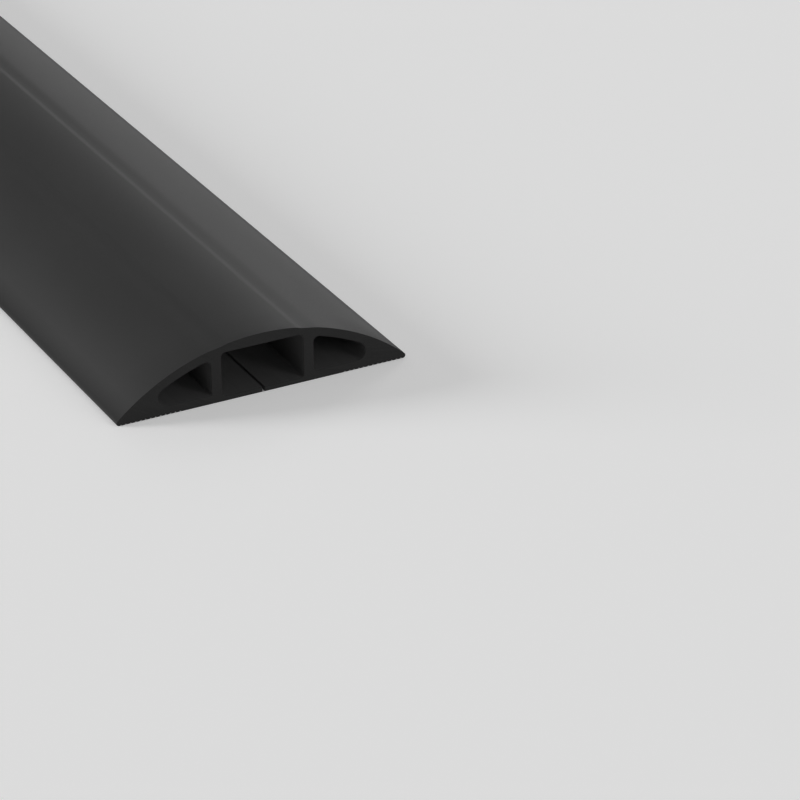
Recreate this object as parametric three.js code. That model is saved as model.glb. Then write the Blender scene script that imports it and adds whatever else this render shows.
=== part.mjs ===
// Floor cord cover: one extruded strip of soft PVC that lies over cords on a floor.
// Millimetres. X runs across the strip, Y along it and Z up. The origin is the middle of the base.

import * as THREE from "three";

// Strip
const STRIP_LENGTH = 914; // three feet
const STRIP_WIDTH = 60;
const EDGE_RADIUS = 0.55; // round nose of each thin edge

// Cord channel, in the middle of the strip
const CHANNEL_WIDTH = 17;
const CHANNEL_HEIGHT = 9;
const CHANNEL_FLOOR = 1.0; // thickness of the two flaps under the cords
const CHANNEL_ROOF = 2.2; // thickness over the middle of the channel
const CHANNEL_TOP_FILLET = 1.0;
const CHANNEL_BOTTOM_FILLET = 0.65;
const SLIT_WIDTH = 0.55; // gap between the two flaps, where the cords are pressed in
const WEB_THICKNESS = 2.1; // upright wall on each side of the channel

// Side chamber, one on each side of the channel
const CHAMBER_FLOOR = 1.77;
const CHAMBER_SKIN = 1.75; // wall between the chamber and the crown
const CHAMBER_END_RADIUS = 1.87; // round end towards the thin edge
const CHAMBER_TOP_FILLET = 1.05;
const CHAMBER_BOTTOM_FILLET = 0.3;

// Grip grooves along the base, one band on each side
const GROOVE_COUNT = 13;
const GROOVE_PITCH = 1.0;
const GROOVE_RADIUS = 0.24;
const GROOVE_EDGE_LAND = 0.9; // from the outermost groove's middle to the strip's side

// Shallow sink in the crown over each web, where the thick wall shrank as it cooled
const SINK_DEPTH = 0.17;
const SINK_LEAD = 1.6; // how far over the channel it starts
const SINK_DROP_WIDTH = 1.7; // its steep flank, towards the middle
const SINK_RISE_WIDTH = 3.6; // its gentle flank, towards the edge

// Facets
const CROWN_SEGMENTS = 72;
const SINK_SEGMENTS = 6; // in each flank
const SKIN_SEGMENTS = 12;
const FILLET_SEGMENTS = 5;
const END_SEGMENTS = 10;
const NOSE_SEGMENTS = 4; // below the widest point, and as many above it
const GROOVE_SEGMENTS = 4;

// The crown is one arc over the whole width. It passes through the top of the strip and touches the
// round nose of each edge, and that sets its radius.
const stripHeight = CHANNEL_FLOOR + CHANNEL_HEIGHT + CHANNEL_ROOF;
const noseX = STRIP_WIDTH / 2 - EDGE_RADIUS;
const crownRise = stripHeight - 2 * EDGE_RADIUS; // from the noses' tops to the top of the strip
const crownRadius = (noseX ** 2 + stripHeight * crownRise) / (2 * crownRise);
const crownCentreZ = stripHeight - crownRadius;
const crownEndAngle = Math.atan2(EDGE_RADIUS - crownCentreZ, noseX); // where it meets the right-hand nose
const channelHalf = CHANNEL_WIDTH / 2;
const channelTop = CHANNEL_FLOOR + CHANNEL_HEIGHT;
const webOuterX = channelHalf + WEB_THICKNESS;

// Points of an arc, as [x, z], from one angle to the other in radians, both ends included
function arc(centreX, centreZ, radius, from, to, segments) {
  return Array.from({ length: segments + 1 }, (_, i) => {
    const angle = from + ((to - from) * i) / segments;
    return [centreX + radius * Math.cos(angle), centreZ + radius * Math.sin(angle)];
  });
}

// A quarter turn, from one whole number of quarters to the next
function quarter(centreX, centreZ, radius, fromQuarter, toQuarter) {
  const [from, to] = [fromQuarter, toQuarter].map((quarters) => (quarters * Math.PI) / 2);
  return arc(centreX, centreZ, radius, from, to, FILLET_SEGMENTS);
}

function mirrored(points) {
  return points.map(([x, z]) => [-x, z]).reverse();
}

function sinkDepth(x) {
  const run = Math.abs(x) - (channelHalf - SINK_LEAD);
  if (run <= 0 || run >= SINK_DROP_WIDTH + SINK_RISE_WIDTH) {
    return 0;
  }
  const isDrop = run < SINK_DROP_WIDTH;
  const part = isDrop ? run / SINK_DROP_WIDTH : (run - SINK_DROP_WIDTH) / SINK_RISE_WIDTH;
  const wave = (1 - Math.cos(Math.PI * part)) / 2;
  return SINK_DEPTH * (isDrop ? wave : 1 - wave);
}

// Half of the crown, from the top of the right-hand nose to the middle of the strip
function crownHalf() {
  const plainArc = arc(0, crownCentreZ, crownRadius, crownEndAngle, Math.PI / 2, CROWN_SEGMENTS / 2);
  const sinkStart = channelHalf - SINK_LEAD;
  const sinkBottom = sinkStart + SINK_DROP_WIDTH;
  const sinkEnd = sinkBottom + SINK_RISE_WIDTH;
  const plainXs = plainArc.map(([x]) => x).filter((x) => x < sinkStart || x > sinkEnd);
  const sinkXs = [];
  for (let i = 0; i <= SINK_SEGMENTS; i += 1) {
    sinkXs.push(sinkStart + (SINK_DROP_WIDTH * i) / SINK_SEGMENTS);
  }
  for (let i = 1; i <= SINK_SEGMENTS; i += 1) {
    sinkXs.push(sinkBottom + (SINK_RISE_WIDTH * i) / SINK_SEGMENTS);
  }
  const xs = [...plainXs, ...sinkXs].sort((a, b) => b - a);
  return xs.map((x) => [x, crownCentreZ + Math.sqrt(crownRadius ** 2 - x ** 2) - sinkDepth(x)]);
}

// The right-hand half of the base, from the slit out to the thin edge, with its half-round grooves
function baseHalf() {
  const points = [[SLIT_WIDTH / 2, 0]];
  const outermost = STRIP_WIDTH / 2 - GROOVE_EDGE_LAND;
  for (let i = GROOVE_COUNT - 1; i >= 0; i -= 1) {
    points.push(...arc(outermost - i * GROOVE_PITCH, 0, GROOVE_RADIUS, Math.PI, 0, GROOVE_SEGMENTS));
  }
  return points;
}

// The strip's side, from the base round the nose and up to where the crown's arc begins
function noseHalf() {
  return [
    ...arc(noseX, EDGE_RADIUS, EDGE_RADIUS, -Math.PI / 2, 0, NOSE_SEGMENTS).slice(0, -1),
    ...arc(noseX, EDGE_RADIUS, EDGE_RADIUS, 0, crownEndAngle, NOSE_SEGMENTS).slice(0, -1),
  ];
}

// Inside of the cord channel, from the left flap's tip round to the right flap's tip
function channelWall() {
  const low = CHANNEL_FLOOR + CHANNEL_BOTTOM_FILLET;
  const high = channelTop - CHANNEL_TOP_FILLET;
  const rightHalf = [
    ...quarter(channelHalf - CHANNEL_TOP_FILLET, high, CHANNEL_TOP_FILLET, 1, 0),
    ...quarter(channelHalf - CHANNEL_BOTTOM_FILLET, low, CHANNEL_BOTTOM_FILLET, 0, -1),
    [SLIT_WIDTH / 2, CHANNEL_FLOOR],
  ];
  return [...mirrored(rightHalf), ...rightHalf];
}

// Outline of the right-hand side chamber: its roof runs parallel to the crown
function chamberOutline() {
  const roofRadius = crownRadius - CHAMBER_SKIN;
  const endZ = CHAMBER_FLOOR + CHAMBER_END_RADIUS;
  const endX = Math.sqrt((roofRadius - CHAMBER_END_RADIUS) ** 2 - (endZ - crownCentreZ) ** 2);
  const endAngle = Math.atan2(endZ - crownCentreZ, endX);
  const filletX = webOuterX + CHAMBER_TOP_FILLET;
  const filletReach = roofRadius - CHAMBER_TOP_FILLET;
  const filletZ = crownCentreZ + Math.sqrt(filletReach ** 2 - filletX ** 2);
  const filletAngle = Math.atan2(filletZ - crownCentreZ, filletX);
  const cornerX = webOuterX + CHAMBER_BOTTOM_FILLET;
  const cornerZ = CHAMBER_FLOOR + CHAMBER_BOTTOM_FILLET;
  return [
    ...arc(endX, endZ, CHAMBER_END_RADIUS, -Math.PI / 2, endAngle, END_SEGMENTS).slice(0, -1),
    ...arc(0, crownCentreZ, roofRadius, endAngle, filletAngle, SKIN_SEGMENTS).slice(0, -1),
    ...arc(filletX, filletZ, CHAMBER_TOP_FILLET, filletAngle, Math.PI, FILLET_SEGMENTS),
    ...quarter(cornerX, cornerZ, CHAMBER_BOTTOM_FILLET, 2, 3),
  ];
}

// The strip's section: the channel and its slit are part of the outline, the chambers are its holes
function stripSection() {
  const rightSide = [...baseHalf(), ...noseHalf(), ...crownHalf()];
  const leftSide = mirrored(rightSide).slice(1);
  const toVectors = (points) => points.map(([x, z]) => new THREE.Vector2(x, z));
  const section = new THREE.Shape(toVectors([...rightSide, ...leftSide, ...channelWall()]));
  section.holes.push(new THREE.Path(toVectors(chamberOutline())));
  section.holes.push(new THREE.Path(toVectors(mirrored(chamberOutline()))));
  return section;
}

function makeCordCover() {
  const geometry = new THREE.ExtrudeGeometry(stripSection(), {
    depth: STRIP_LENGTH,
    steps: 1,
    bevelEnabled: false,
  });
  const charcoalPvc = new THREE.MeshStandardMaterial({
    color: 0x383838,
    roughness: 0.5,
    metalness: 0,
  });
  const cover = new THREE.Mesh(geometry, charcoalPvc);
  cover.name = "cord_cover";
  // The section is drawn in X and Y and extruded along Z, so this stands it up and centres it along Y
  cover.rotation.x = Math.PI / 2;
  cover.position.y = STRIP_LENGTH / 2;
  return cover;
}

const floorCordCover = new THREE.Group();
floorCordCover.add(makeCordCover());

export default floorCordCover;
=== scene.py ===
import math

import bpy
import numpy as np
from mathutils import Matrix, Vector
from mathutils.geometry import delaunay_2d_cdt


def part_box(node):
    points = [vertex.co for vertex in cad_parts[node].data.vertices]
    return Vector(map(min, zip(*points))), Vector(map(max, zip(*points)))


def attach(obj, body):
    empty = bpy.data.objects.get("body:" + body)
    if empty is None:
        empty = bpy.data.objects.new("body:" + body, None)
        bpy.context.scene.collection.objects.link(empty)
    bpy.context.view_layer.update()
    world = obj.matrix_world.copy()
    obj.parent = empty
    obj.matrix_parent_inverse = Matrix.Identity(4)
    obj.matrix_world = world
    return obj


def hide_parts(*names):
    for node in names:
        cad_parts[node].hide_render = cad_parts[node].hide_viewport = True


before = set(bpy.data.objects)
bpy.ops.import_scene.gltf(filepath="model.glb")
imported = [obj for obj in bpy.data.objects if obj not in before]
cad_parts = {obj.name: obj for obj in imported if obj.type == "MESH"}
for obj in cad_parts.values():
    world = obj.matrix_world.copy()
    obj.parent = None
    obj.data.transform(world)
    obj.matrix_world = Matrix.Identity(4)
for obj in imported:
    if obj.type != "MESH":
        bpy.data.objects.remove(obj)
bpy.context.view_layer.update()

# Floor cord cover: one strip of soft PVC, extruded and cut to length. Metres, X across the strip,
# Y along it and Z up, with the origin at the middle of the base.

MM = 0.001

# Overall size, from the frame
cover_low, cover_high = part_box("cord_cover")
length = cover_high[1] - cover_low[1]
width = cover_high[0] - cover_low[0]
height = cover_high[2] - cover_low[2]

# Section
EDGE_RADIUS = 0.55 * MM
CHANNEL_WIDTH = 17 * MM
CHANNEL_FLOOR = 1.0 * MM
CHANNEL_ROOF = 2.2 * MM
CHANNEL_TOP_FILLET = 1.0 * MM
CHANNEL_BOTTOM_FILLET = 0.65 * MM
SLIT_WIDTH = 0.55 * MM
WEB_THICKNESS = 2.1 * MM
CHAMBER_FLOOR = 1.77 * MM
CHAMBER_SKIN = 1.75 * MM
CHAMBER_END_RADIUS = 1.87 * MM
CHAMBER_TOP_FILLET = 1.05 * MM
CHAMBER_BOTTOM_FILLET = 0.3 * MM
GROOVE_COUNT = 13
GROOVE_PITCH = 1.0 * MM
GROOVE_RADIUS = 0.24 * MM
GROOVE_EDGE_LAND = 0.9 * MM
SINK_DEPTH = 0.17 * MM
SINK_LEAD = 1.6 * MM
SINK_DROP_WIDTH = 1.7 * MM
SINK_RISE_WIDTH = 3.6 * MM

# Segments in each stretch of the right-hand half of the section. The crown's are counted as if it had
# no sink.
CROWN_SEGMENTS = 110
SINK_SEGMENTS = 36
GROOVE_SEGMENTS = 8
NOSE_LOW_SEGMENTS = 8
NOSE_HIGH_SEGMENTS = 6
CHANNEL_TOP_SEGMENTS = 10
CHANNEL_BOTTOM_SEGMENTS = 8
CHAMBER_END_SEGMENTS = 24
CHAMBER_ROOF_SEGMENTS = 32
CHAMBER_TOP_SEGMENTS = 12
CHAMBER_BOTTOM_SEGMENTS = 6

# Rounding of the cut ends' edges. Where the section turns so sharply that the cosine of half the turn is
# under the least one, the rounding moves its corner less far inwards.
CUT_ROUND = 0.07 * MM
CUT_ROUND_SEGMENTS = 4
LEAST_HALF_TURN_COSINE = 0.6

# The crown's plain points keep this far from the ends of a sink
SINK_CLEARANCE = 0.001 * MM

# Least length that anything is divided by
LEAST_LENGTH = 1e-9

# Triangles of a cut end: the kind that fills its outline, and how close two points have to be, in
# millimetres, to be taken as one
INSIDE_OUTLINE = 1
CAP_MERGE_DISTANCE = 0.00001

# Edges that turn by more than this are shaded as sharp
SHARP_ANGLE = math.radians(35)

# Slight unevenness of the crown along the strip, as it comes out of the die. It fades out towards the thin
# edges and below the crown. Each wave has its share, its length along the strip, how far it lags for each
# metre across, in turns, and where it starts, in turns.
RING_SPACING = 9 * MM
WAVE_DEPTH = 0.02 * MM
WAVE_EDGE_FADE = 5 * MM
WAVE_DEPTH_FADE = 1 * MM
WAVES = (
    (0.45, 103 * MM, 22, 0.0),
    (0.32, 65 * MM, -33, 0.2),
    (0.23, 36 * MM, 52, 0.65),
)

crown_rise = height - 2 * EDGE_RADIUS
nose_x = width / 2 - EDGE_RADIUS
crown_radius = (nose_x ** 2 + height * crown_rise) / (2 * crown_rise)
crown_centre_z = height - crown_radius
nose_angle = math.atan2(EDGE_RADIUS - crown_centre_z, nose_x)
channel_half = CHANNEL_WIDTH / 2
channel_top = height - CHANNEL_ROOF
web_outer_x = channel_half + WEB_THICKNESS
front_y = -length / 2


def arc(centre_x, centre_z, radius, start, end, segments):
    """Points of an arc in the section, both ends included."""
    angles = np.linspace(start, end, segments + 1)
    return np.stack([centre_x + radius * np.cos(angles), centre_z + radius * np.sin(angles)], axis=1)


def mirrored(points):
    """The same points on the other side, in reverse order, so that a loop still runs counter-clockwise."""
    return (points * [-1, 1])[::-1]


def sink_depth(x):
    """How far the crown sinks at each x, over the webs."""
    run = np.abs(x) - (channel_half - SINK_LEAD)
    drop = np.clip(run / SINK_DROP_WIDTH, 0, 1)
    rise = np.clip((run - SINK_DROP_WIDTH) / SINK_RISE_WIDTH, 0, 1)
    return SINK_DEPTH * (np.cos(math.pi * rise) - np.cos(math.pi * drop)) / 2


def crown_half():
    """The right-hand half of the crown, from its nose to the middle of the strip."""
    arc_x = arc(0, crown_centre_z, crown_radius, nose_angle, math.pi / 2, CROWN_SEGMENTS)[:, 0]
    sink_start = channel_half - SINK_LEAD
    sink_end = sink_start + SINK_DROP_WIDTH + SINK_RISE_WIDTH
    sink_x = np.linspace(sink_start, sink_end, SINK_SEGMENTS + 1)
    plain_x = arc_x[(arc_x < sink_start - SINK_CLEARANCE) | (arc_x > sink_end + SINK_CLEARANCE)]
    x = np.sort(np.concatenate([plain_x, sink_x]))[::-1]
    return np.stack([x, crown_centre_z + np.sqrt(crown_radius ** 2 - x ** 2) - sink_depth(x)], axis=1)


def base_half():
    """The right-hand half of the base, from the slit to the thin edge, with its grip grooves."""
    pieces = [np.array([[SLIT_WIDTH / 2, 0.0]])]
    outermost = width / 2 - GROOVE_EDGE_LAND
    for i in reversed(range(GROOVE_COUNT)):
        centre = outermost - i * GROOVE_PITCH
        pieces.append(arc(centre, 0, GROOVE_RADIUS, math.pi, 0, GROOVE_SEGMENTS))
    return np.concatenate(pieces)


def nose_half():
    """The round nose of the right-hand thin edge, from the base up to where the crown begins."""
    below = arc(nose_x, EDGE_RADIUS, EDGE_RADIUS, -math.pi / 2, 0, NOSE_LOW_SEGMENTS)
    above = arc(nose_x, EDGE_RADIUS, EDGE_RADIUS, 0, nose_angle, NOSE_HIGH_SEGMENTS)
    return np.concatenate([below, above[1:-1]])


def channel_wall():
    """Inside of the cord channel, from the left flap's tip round to the right flap's tip."""
    top_x = channel_half - CHANNEL_TOP_FILLET
    top_z = channel_top - CHANNEL_TOP_FILLET
    bottom_x = channel_half - CHANNEL_BOTTOM_FILLET
    bottom_z = CHANNEL_FLOOR + CHANNEL_BOTTOM_FILLET
    right_half = np.concatenate([
        arc(top_x, top_z, CHANNEL_TOP_FILLET, math.pi / 2, 0, CHANNEL_TOP_SEGMENTS),
        arc(bottom_x, bottom_z, CHANNEL_BOTTOM_FILLET, 0, -math.pi / 2, CHANNEL_BOTTOM_SEGMENTS),
        [[SLIT_WIDTH / 2, CHANNEL_FLOOR]],
    ])
    return np.concatenate([mirrored(right_half), right_half])


def outer_loop():
    """The section's outline, counter-clockwise, with the cord channel and its slit."""
    right_side = np.concatenate([base_half(), nose_half(), crown_half()])
    return np.concatenate([right_side, mirrored(right_side)[1:], channel_wall()])


def chamber_loop():
    """Outline of the right-hand side chamber, counter-clockwise."""
    roof_radius = crown_radius - CHAMBER_SKIN
    end_z = CHAMBER_FLOOR + CHAMBER_END_RADIUS
    end_x = math.sqrt((roof_radius - CHAMBER_END_RADIUS) ** 2 - (end_z - crown_centre_z) ** 2)
    end_angle = math.atan2(end_z - crown_centre_z, end_x)
    fillet_x = web_outer_x + CHAMBER_TOP_FILLET
    fillet_z = crown_centre_z + math.sqrt((roof_radius - CHAMBER_TOP_FILLET) ** 2 - fillet_x ** 2)
    fillet_angle = math.atan2(fillet_z - crown_centre_z, fillet_x)
    corner_x = web_outer_x + CHAMBER_BOTTOM_FILLET
    corner_z = CHAMBER_FLOOR + CHAMBER_BOTTOM_FILLET
    return np.concatenate([
        arc(end_x, end_z, CHAMBER_END_RADIUS, -math.pi / 2, end_angle, CHAMBER_END_SEGMENTS)[:-1],
        arc(0, crown_centre_z, roof_radius, end_angle, fillet_angle, CHAMBER_ROOF_SEGMENTS)[:-1],
        arc(fillet_x, fillet_z, CHAMBER_TOP_FILLET, fillet_angle, math.pi, CHAMBER_TOP_SEGMENTS),
        arc(corner_x, corner_z, CHAMBER_BOTTOM_FILLET, math.pi, 1.5 * math.pi, CHAMBER_BOTTOM_SEGMENTS),
    ])


def into_material(loop, is_hole):
    """For each corner of a counter-clockwise loop, the move that takes its sides one unit into the PVC."""
    ahead = np.roll(loop, -1, axis=0) - loop
    ahead /= np.linalg.norm(ahead, axis=1, keepdims=True)
    left = np.stack([-ahead[:, 1], ahead[:, 0]], axis=1)
    both = left + np.roll(left, 1, axis=0)
    both /= np.maximum(np.linalg.norm(both, axis=1, keepdims=True), LEAST_LENGTH)
    stretch = 1 / np.maximum((both * left).sum(axis=1, keepdims=True), LEAST_HALF_TURN_COSINE)
    return both * stretch * (-1 if is_hole else 1)


def end_rings():
    """(distance from the cut end, inset of the section) of the rings that round its edge."""
    angles = np.linspace(0, math.pi / 2, CUT_ROUND_SEGMENTS + 1)
    return list(zip(CUT_ROUND * (1 - np.cos(angles)), CUT_ROUND * (1 - np.sin(angles))))


def ring_plan():
    """(y, inset) of every ring along the strip, from the front end to the back end."""
    front = [(front_y + distance, inset) for distance, inset in end_rings()]
    back = [(-y, inset) for y, inset in reversed(front)]
    count = round(length / RING_SPACING)
    middle = np.linspace(front[-1][0], back[0][0], count + 1)[1:-1]
    return front + [(y, 0.0) for y in middle] + back


def crown_wave(points, y):
    """Height to add to a ring's points: long shallow waves in the crown, none at the base or the edges."""
    x, z = points[:, 0], points[:, 1]
    across = np.minimum(np.abs(x), nose_x)
    crown_z = crown_centre_z + np.sqrt(crown_radius ** 2 - across ** 2) - sink_depth(x)
    near_crown = np.clip(1 - (crown_z - z) / WAVE_DEPTH_FADE, 0, 1)
    off_edge = np.clip((nose_x - np.abs(x)) / WAVE_EDGE_FADE, 0, 1)
    waves = sum(share * np.sin(2 * math.pi * (y / wavelength + x * lag + start))
                for share, wavelength, lag, start in WAVES)
    return WAVE_DEPTH * near_crown * off_edge * waves


# Material slots of the strip's mesh
SKIN, CUT, INSIDE = 0, 1, 2


def side_faces(start, count, ring_count, is_hole, channel_start):
    """The faces along one loop of the section, from ring to ring, and the material slot of each."""
    faces, slots = [], []
    for r in range(ring_count - 1):
        rounds_a_cut = r < CUT_ROUND_SEGMENTS or r >= ring_count - 1 - CUT_ROUND_SEGMENTS
        for i in range(count):
            a = start + r * count + i
            b = start + r * count + (i + 1) % count
            quad = (a, b, b + count, a + count)
            faces.append(quad if is_hole else quad[::-1])
            is_inside = is_hole or channel_start <= i < count - 1
            slots.append(CUT if rounds_a_cut else INSIDE if is_inside else SKIN)
    return faces, slots


def cap_faces(vertices, caps, faces_front):
    """Triangles over one cut end. The caps are the vertex numbers of its loops, the outline first."""
    index = [i for cap in caps for i in cap]
    loop_of = [number for number, cap in enumerate(caps) for _ in cap]
    points = [Vector((vertices[i][0] / MM, vertices[i][2] / MM)) for i in index]
    edges = []
    for cap in caps:
        first = len(edges)
        edges += [(first + i, first + (i + 1) % len(cap)) for i in range(len(cap))]
    triangles = delaunay_2d_cdt(points, edges, [], INSIDE_OUTLINE, CAP_MERGE_DISTANCE)[2]
    faces = []
    for triangle in triangles:
        # A chamber is convex, so a triangle with all its corners on one chamber lies inside the chamber
        loops = {loop_of[t] for t in triangle}
        if len(loops) == 1 and 0 not in loops:
            continue
        corners = [index[t] for t in triangle]
        (ax, _, az), (bx, _, bz), (cx, _, cz) = (vertices[i] for i in corners)
        turns_left = (bx - ax) * (cz - az) - (bz - az) * (cx - ax) > 0
        faces.append(corners if turns_left == faces_front else corners[::-1])
    return faces


def make_cover():
    """The whole strip as one closed mesh, with a material slot for each face."""
    loops = [(outer_loop(), False), (chamber_loop(), True), (mirrored(chamber_loop()), True)]
    channel_start = len(loops[0][0]) - len(channel_wall())
    plan = ring_plan()
    vertices, faces, slots = [], [], []
    front_caps, back_caps = [], []
    for loop, is_hole in loops:
        inward = into_material(loop, is_hole)
        start, count = len(vertices), len(loop)
        for y, inset in plan:
            ring = loop + inward * inset
            lift = np.zeros(count) if is_hole else crown_wave(ring, y)
            vertices += [(x, y, z + up) for (x, z), up in zip(ring, lift)]
        loop_faces, loop_slots = side_faces(start, count, len(plan), is_hole, channel_start)
        faces += loop_faces
        slots += loop_slots
        front_caps.append(range(start, start + count))
        back_caps.append(range(len(vertices) - count, len(vertices)))
    cut_faces = cap_faces(vertices, front_caps, True) + cap_faces(vertices, back_caps, False)
    mesh = bpy.data.meshes.new("cord_cover_strip")
    mesh.from_pydata(vertices, [], faces + cut_faces)
    mesh.validate()
    mesh.update()
    mesh.polygons.foreach_set("material_index", slots + [CUT] * len(cut_faces))
    mesh.polygons.foreach_set("use_smooth", [True] * len(faces) + [False] * len(cut_faces))
    mesh.set_sharp_from_angle(angle=SHARP_ANGLE)
    cover = bpy.data.objects.new("cord_cover_strip", mesh)
    bpy.context.collection.objects.link(cover)
    return cover


# Materials

SKIN_DARK = (0.0376, 0.0376, 0.0376)
SKIN_LIGHT = (0.0424, 0.0424, 0.0424)
# The inside colours are lighter than the skin's: painted light falling into the channel and the chambers,
# not a different PVC. The blend between them follows the die lines.
INSIDE_PAINTED_LIGHT_LOW = (0.055, 0.055, 0.055)
INSIDE_PAINTED_LIGHT_HIGH = (0.063, 0.063, 0.063)
# The cut colours are darker than the skin's: painted shade on the cut ends and their rounded edges, not a
# different PVC. The blend between them follows the saw marks.
CUT_PAINTED_SHADE_LOW = (0.0148, 0.0148, 0.0147)
CUT_PAINTED_SHADE_HIGH = (0.0194, 0.0194, 0.0193)

# Roughness, as a range that the grain or the torn surface runs through
SKIN_ROUGHNESS = (0.43, 0.51)
INSIDE_ROUGHNESS = (0.6, 0.7)
CUT_ROUGHNESS = (0.6, 0.72)

# Shine, and how far in from each thin edge the skin's starts to fade
SKIN_SHINE = 0.25
EDGE_SHINE = 0.02
SCUFF_REACH = 3.5 * MM
INSIDE_SHINE = 0.2
CUT_SHINE = 0.13

# Most of a noise texture's values lie between these
NOISE_LOW, NOISE_HIGH = 0.3, 0.7

# Patterns in the extruded faces: a scale of 1000 gives features about a millimetre across. The small
# factors of Y draw them out along the strip.
GRAIN_SCALE = 6500
GRAIN_DEPTH = 0.016 * MM
DIE_LINE_SCALE = 1500
DIE_LINE_STRETCH = (1, 0.004, 1)
SKIN_LINE_DEPTH = 0.005 * MM
INSIDE_LINE_DEPTH = 0.01 * MM
MOTTLE_SCALE = 70
MOTTLE_STRETCH = (1, 0.35, 1)

# Patterns on the cut ends, where a round blade came down from the right
BLADE_CENTRE = (0.05, 0, 0.14)
MARK_SCALE = 5200
MARK_STRETCH = 0.02
MARK_DEPTH = 0.07 * MM
TEAR_SCALE = 4200
TEAR_DEPTH = 0.03 * MM


def new_material(name):
    """A material, its node tree and its shader."""
    material = bpy.data.materials.new(name)
    material.use_nodes = True
    tree = material.node_tree
    return material, tree, tree.nodes["Principled BSDF"]


def noise(tree, coordinates, scale, detail=2.0, roughness=0.5, stretch=(1, 1, 1)):
    """A noise texture's factor, with its pattern stretched along the axes."""
    mapping = tree.nodes.new("ShaderNodeMapping")
    mapping.inputs["Scale"].default_value = stretch
    tree.links.new(coordinates, mapping.inputs["Vector"])
    texture = tree.nodes.new("ShaderNodeTexNoise")
    texture.inputs["Scale"].default_value = scale
    texture.inputs["Detail"].default_value = detail
    texture.inputs["Roughness"].default_value = roughness
    tree.links.new(mapping.outputs["Vector"], texture.inputs["Vector"])
    return texture.outputs["Fac"]


def between(tree, factor, low, high, from_low=NOISE_LOW, from_high=NOISE_HIGH):
    """Maps a factor to a range of numbers."""
    node = tree.nodes.new("ShaderNodeMapRange")
    node.inputs["From Min"].default_value = from_low
    node.inputs["From Max"].default_value = from_high
    node.inputs["To Min"].default_value = low
    node.inputs["To Max"].default_value = high
    tree.links.new(factor, node.inputs["Value"])
    return node.outputs["Result"]


def colours(tree, factor, dark, light):
    """Blends two colours by a noise texture's factor."""
    ramp = tree.nodes.new("ShaderNodeValToRGB")
    ramp.color_ramp.elements[0].position = NOISE_LOW
    ramp.color_ramp.elements[0].color = (*dark, 1)
    ramp.color_ramp.elements[1].position = NOISE_HIGH
    ramp.color_ramp.elements[1].color = (*light, 1)
    tree.links.new(factor, ramp.inputs["Fac"])
    return ramp.outputs["Color"]


def bump(tree, height_factor, depth, under=None):
    """A bump of the given depth in metres, which may lie over another one."""
    node = tree.nodes.new("ShaderNodeBump")
    node.inputs["Distance"].default_value = depth
    node.inputs["Strength"].default_value = 1.0
    tree.links.new(height_factor, node.inputs["Height"])
    if under is not None:
        tree.links.new(under, node.inputs["Normal"])
    return node.outputs["Normal"]


def object_coordinates(tree):
    return tree.nodes.new("ShaderNodeTexCoord").outputs["Object"]


def extruded_patterns(tree, place):
    """Factors of the fine grain and of the lines drawn by the die, which all the extruded faces have."""
    grain = noise(tree, place, GRAIN_SCALE, detail=2.0, roughness=0.6)
    die_lines = noise(tree, place, DIE_LINE_SCALE, detail=4.0, roughness=0.6, stretch=DIE_LINE_STRETCH)
    return grain, die_lines


def scuffed_edges(tree, place):
    """The skin's shine, which fades towards the two thin edges, where feet and sweeping have dulled it."""
    parts = tree.nodes.new("ShaderNodeSeparateXYZ")
    tree.links.new(place, parts.inputs["Vector"])
    across = tree.nodes.new("ShaderNodeMath")
    across.operation = "ABSOLUTE"
    tree.links.new(parts.outputs["X"], across.inputs[0])
    return between(tree, across.outputs["Value"], SKIN_SHINE, EDGE_SHINE, width / 2 - SCUFF_REACH, nose_x)


def skin_material():
    """Extruded satin PVC: fine matte grain, faint lines drawn by the die and a slow mottle in its sheen."""
    material, tree, shader = new_material("charcoal_pvc_skin")
    place = object_coordinates(tree)
    grain, die_lines = extruded_patterns(tree, place)
    mottle = noise(tree, place, MOTTLE_SCALE, detail=3.0, stretch=MOTTLE_STRETCH)
    tree.links.new(colours(tree, mottle, SKIN_DARK, SKIN_LIGHT), shader.inputs["Base Color"])
    tree.links.new(between(tree, grain, *SKIN_ROUGHNESS), shader.inputs["Roughness"])
    tree.links.new(scuffed_edges(tree, place), shader.inputs["Specular IOR Level"])
    lines = bump(tree, die_lines, SKIN_LINE_DEPTH)
    tree.links.new(bump(tree, grain, GRAIN_DEPTH, under=lines), shader.inputs["Normal"])
    return material


def inside_material():
    """Walls of the channel and the chambers: the same PVC, not smoothed by the die's outer face, so dull.
    Their colour is lighter than the skin's: painted light, for the light that falls into the channel and the
    chambers.
    """
    material, tree, shader = new_material("charcoal_pvc_inside_painted_light")
    place = object_coordinates(tree)
    grain, die_lines = extruded_patterns(tree, place)
    tree.links.new(colours(tree, die_lines, INSIDE_PAINTED_LIGHT_LOW, INSIDE_PAINTED_LIGHT_HIGH), shader.inputs["Base Color"])
    tree.links.new(between(tree, grain, *INSIDE_ROUGHNESS), shader.inputs["Roughness"])
    shader.inputs["Specular IOR Level"].default_value = INSIDE_SHINE
    lines = bump(tree, die_lines, INSIDE_LINE_DEPTH)
    tree.links.new(bump(tree, grain, GRAIN_DEPTH, under=lines), shader.inputs["Normal"])
    return material


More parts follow.
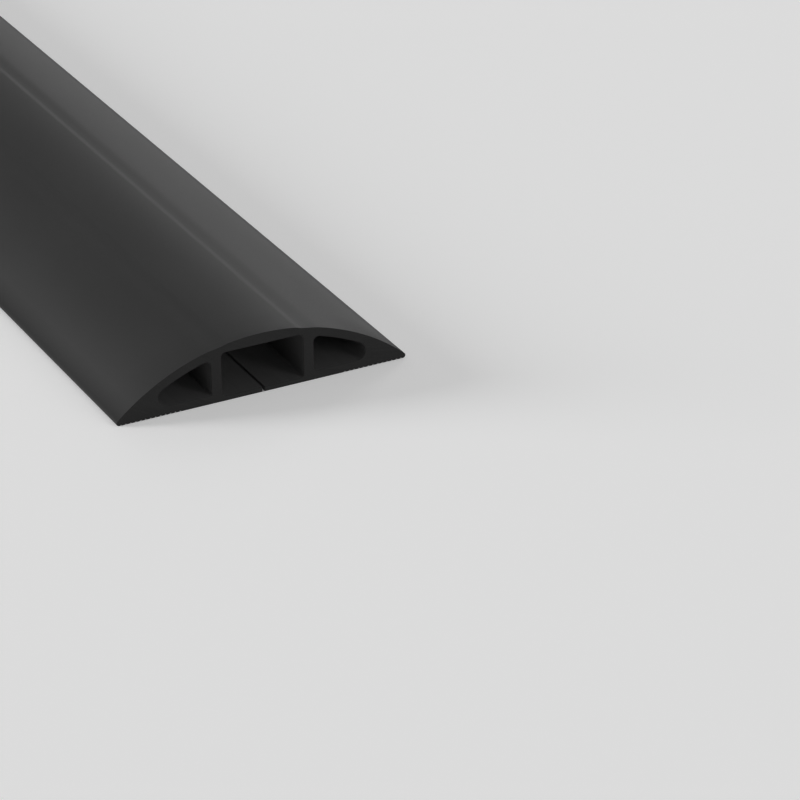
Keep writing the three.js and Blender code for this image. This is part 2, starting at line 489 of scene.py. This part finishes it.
def blade_coordinates(tree, place):
    """Coordinates in which a round saw blade's marks are straight: across them, and slowly along them."""
    flat = tree.nodes.new("ShaderNodeVectorMath")
    flat.operation = "MULTIPLY"
    flat.inputs[1].default_value = (1, 0, 1)
    tree.links.new(place, flat.inputs[0])
    reach = tree.nodes.new("ShaderNodeVectorMath")
    reach.operation = "DISTANCE"
    reach.inputs[1].default_value = BLADE_CENTRE
    tree.links.new(flat.outputs["Vector"], reach.inputs[0])
    parts = tree.nodes.new("ShaderNodeSeparateXYZ")
    tree.links.new(flat.outputs["Vector"], parts.inputs["Vector"])
    along = tree.nodes.new("ShaderNodeMath")
    along.operation = "MULTIPLY"
    along.inputs[1].default_value = MARK_STRETCH
    tree.links.new(parts.outputs["X"], along.inputs[0])
    joined = tree.nodes.new("ShaderNodeCombineXYZ")
    tree.links.new(reach.outputs["Value"], joined.inputs["X"])
    tree.links.new(along.outputs["Value"], joined.inputs["Y"])
    return joined.outputs["Vector"]


def cut_material():
    """The sawn ends: the same PVC, duller, with the blade's fine curved marks and slightly torn. Their
    colour is darker than the skin's: painted shade on the ends.
    """
    material, tree, shader = new_material("charcoal_pvc_cut_painted_shade")
    place = object_coordinates(tree)
    marks = noise(tree, blade_coordinates(tree, place), MARK_SCALE, detail=3.0, roughness=0.7)
    tear = noise(tree, place, TEAR_SCALE, detail=3.0, roughness=0.6)
    tree.links.new(colours(tree, marks, CUT_PAINTED_SHADE_LOW, CUT_PAINTED_SHADE_HIGH), shader.inputs["Base Color"])
    tree.links.new(between(tree, tear, *CUT_ROUGHNESS), shader.inputs["Roughness"])
    shader.inputs["Specular IOR Level"].default_value = CUT_SHINE
    sawn = bump(tree, marks, MARK_DEPTH)
    tree.links.new(bump(tree, tear, TEAR_DEPTH, under=sawn), shader.inputs["Normal"])
    return material


WHITE = (1, 1, 1, 1)
FLOOR_COLOUR = (0.82, 0.82, 0.82, 1)
FLOOR_ROUGHNESS = 0.9
FLOOR_SHINE = 0.2


def floor_material(name, glow):
    """Pale and matte. A slight glow keeps it pale under the low light that suits the dark strip."""
    material, tree, shader = new_material(name)
    shader.inputs["Base Color"].default_value = FLOOR_COLOUR
    shader.inputs["Roughness"].default_value = FLOOR_ROUGHNESS
    shader.inputs["Specular IOR Level"].default_value = FLOOR_SHINE
    shader.inputs["Emission Color"].default_value = WHITE
    shader.inputs["Emission Strength"].default_value = glow
    return material


# Stage

# Soft lights, so far away that they light the whole floor evenly: name, azimuth and elevation in degrees,
# strength in watts a square metre. Azimuth 0 is to the right, 90 behind the front end and 270 in front.
LIGHTS = (
    ("key", 50, 22, 0.245),
    ("key_high", 65, 36, 0.043),
    ("back", 110, 22, 0.057),
    ("left", 150, 12, 2.66),
    ("front", 270, 20, 0.545),
    ("front_right", 300, 20, 0.753),
    ("right", 330, 20, 0.108),
)
LIGHT_SPREAD = math.radians(20)
WORLD_STRENGTH = 0.15
FLOOR_GLOW = 0.28
FLOOR_REACH = 12  # metres from the middle of the strip


def make_floor():
    """A wide floor, made of nine faces. The middle one lies under the strip and doesn't glow."""
    xs = (-FLOOR_REACH, -nose_x, nose_x, FLOOR_REACH)
    ys = (-FLOOR_REACH, front_y, -front_y, FLOOR_REACH)
    corners = [(x, y, 0) for y in ys for x in xs]
    faces = []
    for row in range(len(ys) - 1):
        for column in range(len(xs) - 1):
            first = row * len(xs) + column
            faces.append((first, first + 1, first + 1 + len(xs), first + len(xs)))
    mesh = bpy.data.meshes.new("floor")
    mesh.from_pydata(corners, [], faces)
    mesh.materials.append(floor_material("pale_floor", FLOOR_GLOW))
    mesh.materials.append(floor_material("covered_floor", 0.0))
    middle_face = len(faces) // 2
    mesh.polygons[middle_face].material_index = 1
    floor = bpy.data.objects.new("floor", mesh)
    bpy.context.collection.objects.link(floor)


def add_light(name, azimuth, elevation, strength):
    """A soft light as far away as the sun, so that only its direction matters."""
    light = bpy.data.lights.new(name, "SUN")
    light.angle = LIGHT_SPREAD
    light.energy = strength
    turn, lift = math.radians(azimuth), math.radians(elevation)
    outward = Vector((math.cos(lift) * math.cos(turn), math.cos(lift) * math.sin(turn), math.sin(lift)))
    holder = bpy.data.objects.new(name, light)
    holder.rotation_mode = "QUATERNION"
    holder.rotation_quaternion = outward.to_track_quat("Z", "Y")
    bpy.context.collection.objects.link(holder)


def add_world():
    world = bpy.data.worlds.new("studio")
    world.use_nodes = True
    background = world.node_tree.nodes["Background"]
    background.inputs["Color"].default_value = WHITE
    background.inputs["Strength"].default_value = WORLD_STRENGTH
    bpy.context.scene.world = world


# The camera stands where the photograph's did, measured from the middle of the front end's base. Its
# focal length is in pixels of the 800 pixel frame, and the distances it sees are in metres.
CAMERA_OFFSET = Vector((-0.24835, -0.54252, 0.29957))
CAMERA_AZIMUTH = math.radians(-27.05)
CAMERA_ELEVATION = math.radians(26.85)
CAMERA_ROLL = math.radians(-0.84)
CAMERA_FOCAL_PIXELS = 3554.6
FRAME_PIXELS = 800
SENSOR_MM = 36
NEAREST = 0.01
FARTHEST = 100


def add_camera():
    camera = bpy.data.cameras.new("camera")
    camera.sensor_fit = "HORIZONTAL"
    camera.sensor_width = SENSOR_MM
    camera.lens = CAMERA_FOCAL_PIXELS / FRAME_PIXELS * SENSOR_MM
    camera.clip_start = NEAREST
    camera.clip_end = FARTHEST
    holder = bpy.data.objects.new("camera", camera)
    back = Vector((
        math.sin(CAMERA_AZIMUTH) * math.cos(CAMERA_ELEVATION),
        -math.cos(CAMERA_AZIMUTH) * math.cos(CAMERA_ELEVATION),
        math.sin(CAMERA_ELEVATION),
    ))
    level = Vector((0, 0, 1)).cross(back).normalized()
    upright = back.cross(level)
    right = level * math.cos(CAMERA_ROLL) + upright * math.sin(CAMERA_ROLL)
    up = upright * math.cos(CAMERA_ROLL) - level * math.sin(CAMERA_ROLL)
    place = Vector((0, front_y, 0)) + CAMERA_OFFSET
    turn = Matrix((right, up, back)).transposed().to_4x4()
    holder.matrix_world = Matrix.Translation(place) @ turn
    bpy.context.collection.objects.link(holder)
    bpy.context.scene.camera = holder


# The strip, with its materials in the order of its slots
cover = make_cover()
for material in (skin_material(), cut_material(), inside_material()):
    cover.data.materials.append(material)
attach(cover, "root")
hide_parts("cord_cover")

make_floor()
add_world()
for settings in LIGHTS:
    add_light(*settings)
add_camera()
bpy.context.scene.view_settings.view_transform = "Standard"
